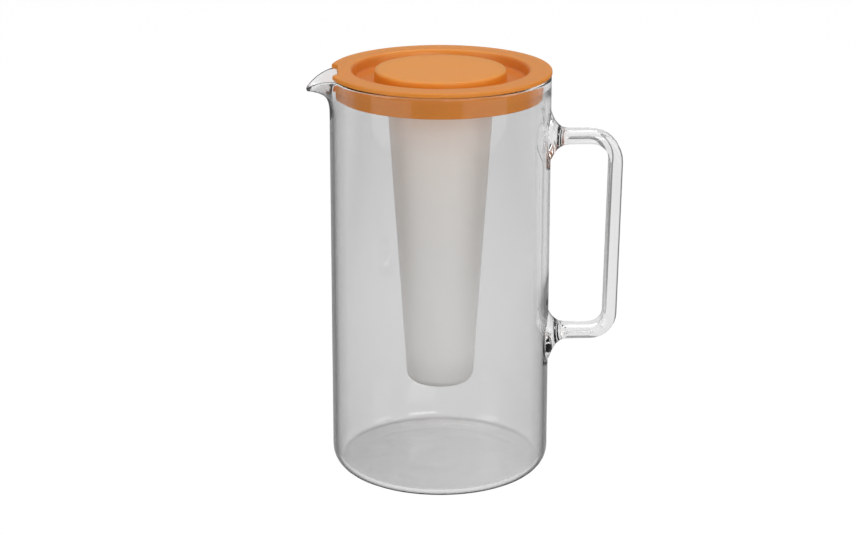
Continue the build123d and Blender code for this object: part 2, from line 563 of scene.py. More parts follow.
@dataclass(frozen=True)
class RodGlass(ClearGlass):
    """The handle's solid rod, with painted dark edge shade on the outer side of the loop alone,
    standing in for the dark surroundings seen through its edges.

    Args:
        grip: Distance of the grip's middle line from the axis, in metres.
        lower_bar: Height of the lower bar's middle line, in metres.
    """

    name: str = "clear_glass_rod"
    slants: tuple[tuple[float, float], ...] = (
        (0.0, 0.8),
        (0.33, 0.78),
        (0.42, 0.4),
        (0.52, 0.06),
        (0.9, 0.02),
    )
    grip: float = 0.103
    lower_bar: float = 0.0837

    def slant(self, board: NodeBoard) -> bpy.types.NodeSocket:
        """As for clear glass, and almost none of the painted edge shade on the inner side of the
        loop.
        """
        x, _, z = board.place()
        beyond = board.fade(x, self.grip, self.grip + 0.002)
        below = board.fade(z, self.lower_bar, self.lower_bar - 0.002)
        outer = board.math("MAXIMUM", beyond, board.math("MULTIPLY", below, 0.45))
        return board.math("MULTIPLY", super().slant(board), outer)


@dataclass(frozen=True)
class FloorGlass(ClearGlass):
    """The wall's inner face and the floor, with painted shadow on the floor, where the table
    under the jug is in shade, and painted shade low on the wall.

    Args:
        floor_top: Height up to which the inner face counts as floor, in metres.
        shade: Share of painted shadow over the whole floor.
        uneven: Share that the painted shadow is darker still in its darkest part.
        heel_shade: Share of painted shade along the line where the rear wall meets the floor.
        low_wall_shade: Share of painted shade on the lowest part of the wall.
    """

    name: str = "clear_glass_inside"
    slants: tuple[tuple[float, float], ...] = ((0.0, 0.805), (0.2, 0.8), (1.0, 0.79))
    floor_top: float = 0.0062
    shade: float = 0.0
    uneven: float = 0.38
    heel_shade: float = 0.3
    low_wall_shade: float = 0.05

    def tint(self, board: NodeBoard) -> bpy.types.NodeSocket:
        """As for clear glass, with the floor's uneven painted shadow, and painted shade along
        the heel line and low on the wall.
        """
        # Painted shadow on the floor, a painted dark heel line and painted shade low on the wall
        x, y, z = board.place()
        clouds = board.add("ShaderNodeTexNoise")
        clouds.inputs["Scale"].default_value = 30.0
        clouds.inputs["Detail"].default_value = 1.0
        aside = board.fade(x, 0.03, -0.045)
        deep = board.math("MULTIPLY", board.fade(y, -0.05, 0.05), 0.35)
        part = board.math("ADD", board.math("MULTIPLY", aside, 0.6), deep)
        cloud = board.math("MULTIPLY", clouds.outputs["Fac"], 0.4)
        part = board.math("MULTIPLY", board.math("ADD", part, cloud), self.uneven)
        dark = board.math("ADD", part, self.shade)
        low = board.fade(z, self.floor_top + 0.0006, self.floor_top - 0.0006)
        dark = board.math("MULTIPLY", dark, low)
        line = board.math(
            "MULTIPLY",
            board.fade(z, self.floor_top - 0.0012, self.floor_top),
            board.fade(z, self.floor_top + 0.0016, self.floor_top + 0.0004),
        )
        line = board.math("MULTIPLY", line, board.fade(y, 0.005, 0.035))
        dark = board.math("ADD", dark, board.math("MULTIPLY", line, self.heel_shade))
        wall = board.math("MULTIPLY", board.fade(z, 0.09, 0.04), self.low_wall_shade)
        dark = board.math("ADD", dark, wall)
        return board.mixed(dark, super().tint(board), (0.0, 0.0, 0.0, 1.0))


@dataclass(frozen=True)
class MouldedPlastic:
    """Satin or frosted injection-moulded plastic with a fine mould texture.

    Args:
        name: The material's name.
        colour: Base colour.
        shade: The base colour in its faintly darker patches.
        roughness: Mean roughness.
        roughness_spread: How far the roughness varies over the surface.
        grain_depth: Height of the mould texture, in metres.
        translucence: Share of light that passes through.
        scatter: Share of light that scatters under the surface.
    """

    name: str
    colour: Colour
    shade: Colour
    roughness: float
    roughness_spread: float = 0.08
    grain_depth: float = 0.00001
    grains_per_metre: float = 3500.0
    translucence: float = 0.0
    scatter: float = 0.0
    scatter_radius: tuple[float, float, float] = (0.004, 0.002, 0.001)
    specular: float = 0.5
    let_through: Optional[Colour] = None

    def tint(
        self, board: NodeBoard, patches: bpy.types.NodeSocket
    ) -> bpy.types.NodeSocket:
        """The base colour, faintly darker in patches."""
        return board.mixed(patches, self.shade, self.colour)

    def material(self, effects: Effects) -> bpy.types.Material:
        """Builds the material.

        Args:
            effects: The shared node groups.

        Returns:
            The material.
        """
        board, material = new_material(self.name)
        plastic = board.add("ShaderNodeBsdfPrincipled")
        plastic.inputs["IOR"].default_value = 1.49
        plastic.inputs["Specular IOR Level"].default_value = self.specular
        plastic.inputs["Transmission Weight"].default_value = self.translucence
        plastic.inputs["Subsurface Weight"].default_value = self.scatter
        plastic.inputs["Subsurface Radius"].default_value = self.scatter_radius
        plastic.inputs["Subsurface Scale"].default_value = 1.0
        marks = board.add("ShaderNodeGroup", node_tree=effects.handling_marks)
        marks.inputs["Base"].default_value = self.roughness
        marks.inputs["Spread"].default_value = self.roughness_spread
        marks.inputs["Patches per metre"].default_value = 45.0
        board.link(marks.outputs["Roughness"], plastic.inputs["Roughness"])
        board.link(
            self.tint(board, marks.outputs["Mask"]), plastic.inputs["Base Color"]
        )
        grain = board.add("ShaderNodeGroup", node_tree=effects.moulding_grain)
        grain.inputs["Grains per metre"].default_value = self.grains_per_metre
        grain.inputs["Depth"].default_value = 1.0
        bump = board.add("ShaderNodeBump")
        bump.inputs["Strength"].default_value = 1.0
        bump.inputs["Distance"].default_value = self.grain_depth
        board.link(grain.outputs["Height"], bump.inputs["Height"])
        board.link(bump.outputs["Normal"], plastic.inputs["Normal"])
        surface = plastic.outputs["BSDF"]
        if self.let_through:
            path = board.add("ShaderNodeLightPath")
            clear = board.add("ShaderNodeBsdfTransparent")
            clear.inputs["Color"].default_value = self.let_through
            mix = board.add("ShaderNodeMixShader")
            board.link(path.outputs["Is Shadow Ray"], mix.inputs["Fac"])
            board.link(surface, mix.inputs[1])
            board.link(clear.outputs["BSDF"], mix.inputs[2])
            surface = mix.outputs["Shader"]
        output = board.add("ShaderNodeOutputMaterial")
        board.link(surface, output.inputs["Surface"])
        return material


@dataclass(frozen=True)
class FrostedPlastic(MouldedPlastic):
    """Frosted plastic with painted orange light from the lid near its top and painted shade
    where it turns away from the eye.

    Args:
        glow: Colour of the painted light that the lid lends it.
        painted_light_start: Height where the painted light begins, in metres.
        painted_light_end: Height where the painted light is strongest, in metres.
        edge: How much painted shade darkens the plastic where it turns away from the eye.
        end_shade: How much darker its closed end is.
    """

    glow: Colour = (1.0, 0.955, 0.91, 1.0)
    painted_light_start: float = 0.14
    painted_light_end: float = 0.235
    edge: float = 0.28
    end_shade: float = 0.14

    def tint(
        self, board: NodeBoard, patches: bpy.types.NodeSocket
    ) -> bpy.types.NodeSocket:
        """As for moulded plastic, with the painted light from the lid and the painted shade at
        the edges.
        """
        _, _, z = board.place()
        plain = super().tint(board, patches)
        # Painted orange light from the lid, rising towards the top, and painted shade at the
        # edges
        painted_lid_light = board.fade(z, self.painted_light_start, self.painted_light_end)
        with_painted_lid_light = board.mixed(painted_lid_light, plain, self.glow)
        facing = board.add("ShaderNodeLayerWeight")
        facing.inputs["Blend"].default_value = 0.5
        aside = board.fade(facing.outputs["Facing"], 0.06, 0.5)
        upper = board.fade(z, 0.07, 0.17)
        share = board.math("ADD", board.math("MULTIPLY", upper, 0.7), 0.3)
        dark = board.math("MULTIPLY", aside, board.math("MULTIPLY", share, self.edge))
        closed = board.math("MULTIPLY", board.fade(z, 0.078, 0.06), self.end_shade)
        dark = board.math("ADD", dark, closed)
        return board.mixed(dark, with_painted_lid_light, (0.3, 0.24, 0.2, 1.0))


@dataclass(frozen=True)
class LidPlastic(MouldedPlastic):
    """The lid's plastic, with painted shade in a deeper colour at the groove's two sides and on
    the skirt and underside, and the deeper colour on the outer flange.

    Args:
        deep: The deeper colour, of the painted shade and the flange.
        flange_share: How much of it the outer flange has.
        groove_shade_share: How much painted shade the groove has at its two sides.
        skirt_shade_share: How much painted shade the skirt and the underside have.
    """

    deep: Colour = (0.63, 0.19, 0.002, 1.0)
    flange_share: float = 0.3
    groove_shade_share: float = 0.9
    skirt_shade_share: float = 0.45

    def tint(
        self, board: NodeBoard, patches: bpy.types.NodeSocket
    ) -> bpy.types.NodeSocket:
        """As for moulded plastic, with the painted shade and the flange's deeper colour by
        place.
        """
        x, y, z = board.place()
        square = board.math("ADD", board.math("POWER", x, 2.0), board.math("POWER", y, 2.0))
        radius = board.math("SQRT", square)
        flange = board.math(
            "MULTIPLY", board.fade(radius, 0.0515, 0.0535), self.flange_share
        )
        aside = board.fade(board.math("ABSOLUTE", x), 0.02, 0.048)
        ring = board.math(
            "MULTIPLY",
            board.fade(radius, 0.038, 0.0392),
            board.fade(radius, 0.0535, 0.052),
        )
        groove = board.math("MULTIPLY", board.math("MULTIPLY", aside, ring), self.groove_shade_share)
        skirt = board.math("MULTIPLY", board.fade(z, 0.2433, 0.2425), self.skirt_shade_share)
        share = board.math("MAXIMUM", board.math("MAXIMUM", flange, groove), skirt)
        return board.mixed(share, super().tint(board, patches), self.deep)


@dataclass(frozen=True)
class StudioPaper:
    """White paper, plain white to the eye and through glass, and dim in reflections.

    Args:
        name: The material's name.
        colour: The paper's colour where lamps light it.
        evenness: Share of plain white in what the eye sees of it.
        dimness: Share of black in what glossy surfaces see of it.
        white_from: How far behind the axis mirrored light finds it white.
        dark_from: How far behind the axis mirrored light finds it dark.
        near: Distance from the axis up to which mirrored light finds it white.
        far: Distance from the axis beyond which mirrored light finds it dark.
    """

    name: str = "studio_paper"
    colour: Colour = (0.9, 0.9, 0.9, 1.0)
    evenness: float = 0.95
    dimness: float = 0.8
    white_from: float = 0.35
    dark_from: float = 0.1
    near: float = 0.35
    far: float = 0.7

    def material(self) -> bpy.types.Material:
        """Builds the material."""
        board, material = new_material(self.name)
        paper = board.add("ShaderNodeBsdfDiffuse")
        paper.inputs["Color"].default_value = self.colour
        path = board.add("ShaderNodeLightPath")
        seen = board.math(
            "MAXIMUM",
            path.outputs["Is Camera Ray"],
            path.outputs["Is Transmission Ray"],
        )
        # Mirrored light finds the paper dark, but not behind or near the pitcher
        x, y, _ = board.place()
        mirrored = board.math("MINIMUM", path.outputs["Glossy Depth"], 1.0)
        dark = board.math(
            "MULTIPLY", mirrored, board.fade(y, self.white_from, self.dark_from)
        )
        reach = board.math(
            "SQRT",
            board.math(
                "ADD", board.math("POWER", x, 2.0), board.math("POWER", y, 2.0)
            ),
        )
        dark = board.math("MULTIPLY", dark, board.fade(reach, self.near, self.far))
        seen = board.math("MULTIPLY", seen, board.math("SUBTRACT", 1.0, dark))
        white = board.add("ShaderNodeEmission")
        white.inputs["Color"].default_value = (1.0, 1.0, 1.0, 1.0)
        level = board.math("MULTIPLY", seen, 1.02)
        board.link(level, white.inputs["Strength"])
        even = board.math("MULTIPLY", seen, self.evenness)
        dim = board.math("MULTIPLY", path.outputs["Is Glossy Ray"], self.dimness)
        mix = board.add("ShaderNodeMixShader")
        board.link(board.math("MAXIMUM", even, dim), mix.inputs["Fac"])
        board.link(paper.outputs["BSDF"], mix.inputs[1])
        board.link(white.outputs["Emission"], mix.inputs[2])
        output = board.add("ShaderNodeOutputMaterial")
        board.link(mix.outputs["Shader"], output.inputs["Surface"])
        return material


@dataclass(frozen=True)
class GlowingCard:
    """The soft white face of a reflector card, brightest in its middle.

    Args:
        name: The material's name.
        strength: Its brightness in the middle.
    """

    name: str = "reflector_card"
    strength: float = 1.0

    def material(self) -> bpy.types.Material:
        """Builds the material."""
        board, material = new_material(self.name)
        place = board.add("ShaderNodeTexCoord")
        parts = board.add("ShaderNodeSeparateXYZ")
        board.link(place.outputs["UV"], parts.inputs[0])
        level: object = self.strength
        for side in ("X", "Y"):
            rest = board.math("SUBTRACT", 1.0, parts.outputs[side])
            rise = board.math("MULTIPLY", parts.outputs[side], rest)
            soft = board.math("MINIMUM", board.math("MULTIPLY", rise, 14.0), 1.0)
            level = board.math("MULTIPLY", soft, level)
        glow = board.add("ShaderNodeEmission")
        board.link(level, glow.inputs["Strength"])
        output = board.add("ShaderNodeOutputMaterial")
        board.link(glow.outputs["Emission"], output.inputs["Surface"])
        return material


@dataclass(frozen=True)
class DarkScrim:
    """Dark gauze, standing in for the dark room beyond the paper: painted shade that the glass
    rod shows as dark lines. Its borders and weave let some of the white behind it through.

    Args:
        name: The material's name.
        density: Share of the light that its middle stops.
    """

    name: str = "dark_scrim"
    density: float = 0.68

    def material(self) -> bpy.types.Material:
        """Builds the material."""
        board, material = new_material(self.name)
        place = board.add("ShaderNodeTexCoord")
        weave = board.add("ShaderNodeTexNoise")
        weave.inputs["Scale"].default_value = 40.0
        board.link(place.outputs["Object"], weave.inputs["Vector"])
        level = board.math("MULTIPLY", weave.outputs["Fac"], 0.2)
        level = board.math("ADD", level, self.density - 0.1)
        parts = board.add("ShaderNodeSeparateXYZ")
        board.link(place.outputs["UV"], parts.inputs[0])
        for side, border in (("X", 0.22), ("Y", 0.4)):
            near = board.fade(parts.outputs[side], 0.0, border)
            level = board.math("MULTIPLY", level, near)
        level = board.math(
            "MULTIPLY", level, board.fade(parts.outputs["X"], 1.0, 0.78)
        )
        # Seen at a slant the gauze is clear, so it shows in no other view
        slant = board.add("ShaderNodeLayerWeight")
        slant.inputs["Blend"].default_value = 0.5
        square = board.fade(slant.outputs["Facing"], 0.085, 0.065)
        level = board.math("MULTIPLY", level, square)
        cloth = board.add("ShaderNodeBsdfDiffuse")
        cloth.inputs["Color"].default_value = (0.01, 0.01, 0.01, 1.0)
        clear = board.add("ShaderNodeBsdfTransparent")
        mix = board.add("ShaderNodeMixShader")
        board.link(level, mix.inputs["Fac"])
        board.link(clear.outputs["BSDF"], mix.inputs[1])
        board.link(cloth.outputs["BSDF"], mix.inputs[2])
        output = board.add("ShaderNodeOutputMaterial")
        board.link(mix.outputs["Shader"], output.inputs["Surface"])
        return material


# ---------------------------------------------------------------- the pitcher


@dataclass
class GlassJug:
    """The blown glass body with its pulled spout, and the fused handle, in millimetres."""

    radius: float = 65.0
    wall: float = 3.0
    rim_height: float = 242.8
    floor: float = 3.0
    base_corner: float = 13.0
    floor_corner: float = 10.0
    spout_half_angle: float = 24.0
    spout_height: float = 29.0
    spout_reach: float = 13.3
    spout_droop: float = 7.6
    lip_thickness: float = 2.9
    lip_lean: float = 62.0
    segments: int = 384
    plain_shares: tuple[float, ...] = (0.0, 0.22, 0.42, 0.6, 0.79)
    outer_flare_shares: tuple[Point, ...] = (
        (0.0, 0.0),
        (0.0, 0.22),
        (0.05, 0.43),
        (0.2, 0.565),
        (0.5, 0.635),
    )
    inner_flare_shares: tuple[Point, ...] = (
        (0.0, 0.0),
        (0.01, 0.23),
        (0.12, 0.46),
        (0.33, 0.6),
        (0.66, 0.695),
    )
    reach_shares: tuple[float, ...] = (
        0.0,
        0.08,
        0.31,
        0.58,
        0.86,
        1.0,
        0.86,
        0.58,
        0.31,
        0.08,
        0.0,
    )
    rod_thickness: float = 7.8
    rod_width: float = 16.0
    upper_bar: float = 204.3
    lower_bar: float = 83.7
    grip_top: float = 104.3
    grip_bottom: float = 101.9
    upper_bend: float = 15.0
    lower_bend: float = 12.0
    foot_length: float = 12.0
    foot_spread: float = 17.0
    gap_side_share: float = 0.74
    foot_stations: tuple[float, ...] = (-0.58, -0.25, 0.0, 0.17, 0.37, 0.63, 1.0)
    foot_heights: tuple[float, ...] = (1.08, 0.93, 0.72, 0.43, 0.2, 0.05, 0.0)
    foot_widths: tuple[float, ...] = (0.86, 0.71, 0.51, 0.31, 0.15, 0.04, 0.0)

    def reach_share(self, angle: float) -> float:
        """How far the lip reaches at an angle from the spout's middle, as a share."""
        wrapped = math.degrees(math.atan2(math.sin(angle), math.cos(angle)))
        if abs(wrapped) >= self.spout_half_angle:
            return 0.0
        place = (wrapped / self.spout_half_angle + 1) / 2
        index = round(place * 400)
        return max(0.0, self._reach_curve[index])

    def __post_init__(self) -> None:
        """Works out the smooth curve of the lip's reach once."""
        last = len(self.reach_shares) - 1
        knots = [(50.0 * i / last, share) for i, share in enumerate(self.reach_shares)]
        curve = natural_curve(knots, 401)
        self._reach_curve = [share for _, share in curve]

    def wall_section(self, angle: float) -> list[Point]:
        """The glass wall's closed section from the axis, at an angle from the spout.

        Args:
            angle: The angle about the axis, from the middle of the spout.

        Returns:
            Radius and height of each point, from under the floor to above it.
        """
        share = self.reach_share(angle)
        bottom = self.rim_height - self.spout_height
        inner_radius = self.radius - self.wall
        sides: list[list[Point]] = []
        for start, flares in (
            (self.radius, self.outer_flare_shares),
            (inner_radius, self.inner_flare_shares),
        ):
            sides.append(
                [
                    (
                        start + out * self.spout_reach * share,
                        bottom
                        + self.spout_height * (plain * (1 - share) + up * share),
                    )
                    for plain, (out, up) in zip(self.plain_shares, flares)
                ]
            )
        outer, inner = sides
        lean = math.radians(self.lip_lean) * share
        half = self.wall / 2 + (self.lip_thickness - self.wall) / 2 * share
        tip = (
            self.radius
            - self.wall / 2
            + (self.spout_reach + self.wall / 2) * share,
            self.rim_height - self.spout_droop * share**2,
        )
        across = (math.cos(lean), -math.sin(lean))
        along = (math.sin(lean), math.cos(lean))
        middle = (tip[0] - half * along[0], tip[1] - half * along[1])
        lip = [
            (
                middle[0] + half * (math.cos(a) * across[0] + math.sin(a) * along[0]),
                middle[1] + half * (math.cos(a) * across[1] + math.sin(a) * along[1]),
            )
            for a in (math.pi * k / 14 for k in range(15))
        ]
        below = rounded_outline(
            [
                (0.0, 0.0, 0.0),
                (self.radius, 0.0, self.base_corner),
                (self.radius, bottom, 0.0),
            ]
        )
        above = rounded_outline(
            [
                (inner_radius, bottom, 0.0),
                (inner_radius, self.floor, self.floor_corner),
                (0.0, self.floor, 0.0),
            ]
        )
        up_outside = natural_curve(outer + [lip[0]], 22)
        down_inside = natural_curve(list(reversed(inner + [lip[-1]])), 22)
        outside = filled_in(below, 14.0)[:-1] + up_outside[:-1]
        self.upper_row = len(outside) - 3
        self.rim_row = len(outside) - 1
        self.inside_row = len(outside) + len(lip) - 2
        return outside + lip + down_inside[1:] + filled_in(above, 14.0)[1:]

    def body(self) -> bpy.types.Object:
        """Turns the wall's section into the glass body."""
        maker = MeshMaker("jug_glass", sharp_angle=60.0)
        maker.turned(self.wall_section, self.segments)
        jug = maker.build()
        for i, face in enumerate(jug.data.polygons):
            row, column = divmod(i, self.segments)
            reach = self.reach_share(2 * math.pi * column / self.segments)
            if row >= self.inside_row:
                face.material_index = 1
            elif row >= self.upper_row and reach < 0.05:
                face.material_index = 2 if row >= self.rim_row else 1
        return jug

    def foot(self, bar: float, outward: float) -> list[tuple]:
        """A flared foot's sections from inside the wall out to the rod.

        Args:
            bar: Height of the bar that the foot carries.
            outward: 1 where the bar's outer side is its top, -1 for its underside.

        Returns:
            Each section's middle, the direction of its outer side, and its half
            thickness and half width.
        """
        curves = [
            natural_curve(list(zip(self.foot_stations, shares)), 33)
            for shares in (self.foot_heights, self.foot_widths)
        ]
        sections = []
        for station in np.linspace(self.foot_stations[0], 1.0, 37)[:-1]:
            taller, wider = (
                max(0.0, float(np.interp(station, *zip(*curve)))) * self.foot_spread
                for curve in curves
            )
            shift = taller * (1 - self.gap_side_share) / 2
            sections.append(
                (
                    Vector(
                        (
                            self.radius + station * self.foot_length,
                            0,
                            bar + outward * shift,
                        )
                    ),
                    Vector((0, 0, outward)),
                    self.rod_thickness / 2 + taller * (1 + self.gap_side_share) / 2,
                    self.rod_width / 2 + wider,
                )
            )
        return sections

    def rod_sections(self) -> list[tuple]:
        """The handle's sections along its line, from the upper foot to the lower."""
        start = self.radius + self.foot_length
        line = rounded_outline(
            [
                (start, self.upper_bar, 0.0),
                (self.grip_top, self.upper_bar, self.upper_bend),
                (self.grip_bottom, self.lower_bar, self.lower_bend),
                (start, self.lower_bar, 0.0),
            ]
        )
        line = filled_in(line, 6.0)
        sections = self.foot(self.upper_bar, 1.0)
        for before, here, after in zip(line, line[1:], line[2:]):
            along = Vector((after[0] - before[0], 0, after[1] - before[1])).normalized()
            sections.append(
                (
                    Vector((here[0], 0, here[1])),
                    Vector((-along.z, 0, along.x)),
                    self.rod_thickness / 2,
                    self.rod_width / 2,
                )
            )
        return sections + list(reversed(self.foot(self.lower_bar, -1.0)))

    def handle(self) -> bpy.types.Object:
        """Builds the bent rod with its flared feet, trimmed inside the round wall."""
        maker = MeshMaker("handle_rod", sharp_angle=60.0)
        steps = 20
        rings = []
        for middle, up, half_t, half_w in self.rod_sections():
            flat = max(0.0, half_w - half_t)
            ring = []
            for side in (1, -1):
                for k in range(steps + 1):
                    angle = math.pi * k / steps - math.pi / 2
                    rise = side * half_t * math.sin(angle)
                    point = middle + up * rise
                    y = side * (flat + min(half_t, half_w) * math.cos(angle))
                    ring.append((point.x, y, point.z))
            rings.append(maker.ring(ring))
        for first, second in zip(rings, rings[1:]):
            maker.bridge(first, second)
        maker.cap(rings[0])
        maker.cap(rings[-1])
        rod = maker.build()
        core = MeshMaker("wall_core")
        inside = self.radius - self.wall / 2
        core.turned(
            lambda _: [(0, 0), (inside, 0), (inside, self.rim_height), (0, self.rim_height)],
            self.segments,
        )
        combined(rod, core.build(), "DIFFERENCE", 60.0)
        return rod

    def build(
        self,
        outside: bpy.types.Material,
        inside: bpy.types.Material,
        rim_glass: bpy.types.Material,
        rod_glass: bpy.types.Material,
    ) -> bpy.types.Object:
        """Fuses the handle to the body and dresses the jug.

        Args:
            outside: The clear glass of the wall's outer face.
            inside: The clear glass of its inner face.
            rim_glass: The glass of the polished rim.
            rod_glass: The clear glass of the handle's solid rod.

        Returns:
            The finished jug.
        """
        jug = self.body()
        rod = self.handle()
        for piece in (jug, rod):
            for glass in (outside, inside, rim_glass, rod_glass):
                piece.data.materials.append(glass)
        for face in rod.data.polygons:
            face.material_index = 3
        combined(jug, rod, "UNION", 60.0)
        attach(jug, "jug")
        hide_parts("glass_body", "handle")
        log.info("jug_glass: %d faces", len(jug.data.polygons))
        return jug


@dataclass
class ScrewThread:
    """A round-backed helical ridge on a cylinder, in millimetres."""

    name: str
    radius: float
    height: float
    bottom: float
    pitch: float
    turns: float
    half_width: float
    sink: float = 0.2

    def build(self) -> bpy.types.Object:
        """Builds the ridge, which runs out at both ends."""
        maker = MeshMaker(self.name, sharp_angle=50.0)
        steps = int(self.turns * 96)
        rings = []
        for k in range(steps + 1):
            angle = 2 * math.pi * self.turns * k / steps
            share = k / steps
            fade = min(1.0, share * self.turns * 6, (1 - share) * self.turns * 6)
            middle = self.bottom + self.pitch * self.turns * share
            ring = []
            for j in range(9):
                across = -1 + 2 * j / 8
                out = self.height * fade * math.cos(across * math.pi / 2) ** 0.8
                radius = self.radius + out - math.copysign(self.sink, self.height)
                if j in (0, 8):
                    radius = self.radius - 2 * math.copysign(self.sink, self.height)
                ring.append(
                    (
                        radius * math.cos(angle),
                        radius * math.sin(angle),
                        middle + across * self.half_width,
                    )
                )
            rings.append(maker.ring(ring))
        for first, second in zip(rings, rings[1:]):
            maker.bridge(first, second)
        maker.cap(rings[0])
        maker.cap(rings[-1])
        return maker.build()


@dataclass
class Lid:
    """The orange lid: flange, finger groove, raised centre, skirt, collar and notch."""

    wall: float = 2.5
    flange_bottom: float = 243.1
    flange_thickness: float = 2.9
    flange_radius: float = 65.4
    skirt_top_radius: float = 61.5
    skirt_draft: float = 1.8
    skirt_depth: float = 13.3
    groove_radius: float = 52.0
    groove_depth: float = 7.0
    groove_slope: float = 1.6
    centre_radius: float = 38.7
    collar_depth: float = 6.5
    soft_edge: float = 0.9
    rim_edge: float = 1.2
    centre_edge: float = 1.7
    groove_rounding: float = 2.4
    notch_half_width: float = 11.5
    notch_side_angle: float = 56.0
    notch_depth: float = 5.4
    notch_corner: float = 1.4
    relief_inner: float = 55.8
    segments: int = 320

    def profile(self) -> list[Point]:
        """The moulding's closed section, from the top of the axis round to its underside."""
        top = self.flange_bottom + self.flange_thickness
        groove = top - self.groove_depth
        under = groove - self.wall
        collar = under - self.collar_depth
        skirt = self.flange_bottom - self.skirt_depth
        low = self.skirt_top_radius - self.skirt_draft
        floor = self.groove_radius - self.groove_slope
        edge, soft = self.soft_edge, self.groove_rounding
        outline = rounded_outline(
            [
                (0.0, top, 0.0),
                (self.centre_radius, top, self.centre_edge),
                (self.centre_radius, groove, edge),
                (floor, groove, soft),
                (self.groove_radius, top, soft),
                (self.flange_radius, top, self.rim_edge),
                (self.flange_radius, self.flange_bottom, edge),
                (self.skirt_top_radius, self.flange_bottom, 0.3),
                (low, skirt, edge),
                (low - self.wall, skirt, edge),
                (self.skirt_top_radius - self.wall, self.flange_bottom, 0.4),
                (self.groove_radius + self.wall, self.flange_bottom, 0.4),
                (floor + self.wall, under, edge),
                (self.centre_radius, under, 0.4),
                (self.centre_radius, collar, 0.4),
                (self.centre_radius - self.wall, collar, 0.4),
                (self.centre_radius - self.wall, top - self.wall, 0.4),
                (0.0, top - self.wall, 0.0),
            ]
        )
        return filled_in(outline, 9.0)

    def notch_tool(self) -> bpy.types.Object:
        """The block that cuts the pouring notch and the relief in the skirt."""
        maker = MeshMaker("notch_tool")
        top = self.flange_bottom + self.flange_thickness
        floor = -(self.flange_radius - self.notch_depth)
        levels = (
            (self.flange_bottom - 0.6, 0.0),
            (top - 0.45, 0.0),
            (top - 0.18, 0.12),
            (top + 0.3, 0.62),
        )
        reach = self.notch_depth + 5.0
        flare = math.tan(math.radians(self.notch_side_angle)) * reach
        rings = []
        for height, grow in levels:
            half = self.notch_half_width + grow
            near = floor + grow
            outline = rounded_outline(
                [
                    (near - reach, -half - flare, 0.0),
                    (near, -half, self.notch_corner),
                    (near, half, self.notch_corner),
                    (near - reach, half + flare, 0.0),
                ],
                closed=True,
            )
            rings.append(maker.ring([(x, y, height) for x, y in outline]))
        for first, second in zip(rings, rings[1:]):
            maker.bridge(first, second)
        maker.cap(rings[0])
        maker.cap(rings[-1])
        return maker.build()

    def relief_tool(self) -> bpy.types.Object:
        """The block that opens the skirt behind the notch."""
        maker = MeshMaker("relief_tool")
        half = self.notch_half_width
        rings = []
        for height in (self.flange_bottom - self.skirt_depth - 3, self.flange_bottom):
            rings.append(
                maker.ring(
                    [
                        (-self.relief_inner - 20, -half, height),
                        (-self.relief_inner, -half, height),
                        (-self.relief_inner, half, height),
                        (-self.relief_inner - 20, half, height),
                    ]
                )
            )
        maker.bridge(rings[0], rings[1])
        maker.cap(rings[0])
        maker.cap(rings[1])
        return maker.build()

    def build(self, plastic: bpy.types.Material) -> bpy.types.Object:
        """Builds the moulding and the thread inside its collar.

        Args:
            plastic: The orange plastic.

        Returns:
            The lid.
        """
        maker = MeshMaker("lid_moulding", sharp_angle=35.0)
        profile = self.profile()
        maker.turned(lambda _: profile, self.segments)
        lid = maker.build()
        combined(lid, self.notch_tool(), "DIFFERENCE", 35.0)
        combined(lid, self.relief_tool(), "DIFFERENCE", 35.0)
        under = self.flange_bottom + self.flange_thickness - self.groove_depth
        thread = ScrewThread(
            name="collar_thread",
            radius=self.centre_radius - self.wall,
            height=-0.35,
            bottom=under - self.wall - self.collar_depth + 2.2,
            pitch=4.0,
            turns=1.6,
            half_width=0.9,
        ).build()
        for piece in (lid, thread):
            piece.data.materials.clear()
            piece.data.materials.append(plastic)
            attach(piece, "lid")
            log.info("%s: %d faces", piece.name, len(piece.data.polygons))
        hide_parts("lid")
        return lid


@dataclass
class IceCore:
    """The frosted tapered tube with its threaded neck, in millimetres."""

    bottom: float = 54.3
    bottom_radius: float = 19.7
    top_radius: float = 31.1
    wall: float = 2.2
    corner: float = 5.8
    shoulder_bottom: float = 225.0
    neck_bottom: float = 230.0
    neck_top: float = 242.0
    neck_radius: float = 35.9
    neck_wall: float = 2.5
    segments: int = 256

    def profile(self) -> list[Point]:
        """The tube's section, from under its floor round the rim to inside it."""
        inner = self.neck_radius - self.neck_wall
        outline = rounded_outline(
            [
                (0.0, self.bottom, 0.0),
                (self.bottom_radius, self.bottom, self.corner),
                (self.top_radius, self.shoulder_bottom, self.corner),
                (self.neck_radius, self.neck_bottom, self.corner - self.wall),
                (self.neck_radius, self.neck_top, 0.5),
                (inner, self.neck_top, 0.5),
                (inner, self.neck_bottom, self.corner - self.wall),
                (self.top_radius - self.wall, self.shoulder_bottom, self.corner),
                (
                    self.bottom_radius - self.wall,
                    self.bottom + self.wall,
                    self.corner - self.wall,
                ),
                (0.0, self.bottom + self.wall, 0.0),
            ]
        )
        return filled_in(outline, 12.0)

    def build(self, frosted: bpy.types.Material) -> bpy.types.Object:
        """Builds the tube and its thread.

        Args:
            frosted: The frosted plastic.

        Returns:
            The tube.
        """
        maker = MeshMaker("ice_tube", sharp_angle=40.0)
        profile = self.profile()
        maker.turned(lambda _: profile, self.segments)
        tube = maker.build()
        thread = ScrewThread(
            name="neck_thread",
            radius=self.neck_radius,
            height=0.3,
            bottom=self.neck_bottom + 2.6,
            pitch=4.0,
            turns=1.6,
            half_width=0.9,
        ).build()
        for piece in (tube, thread):
            piece.data.materials.clear()
            piece.data.materials.append(frosted)
            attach(piece, "core")
            log.info("%s: %d faces", piece.name, len(piece.data.polygons))
        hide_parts("core_tube", "core_neck")
        return tube


# ---------------------------------------------------------------- the studio


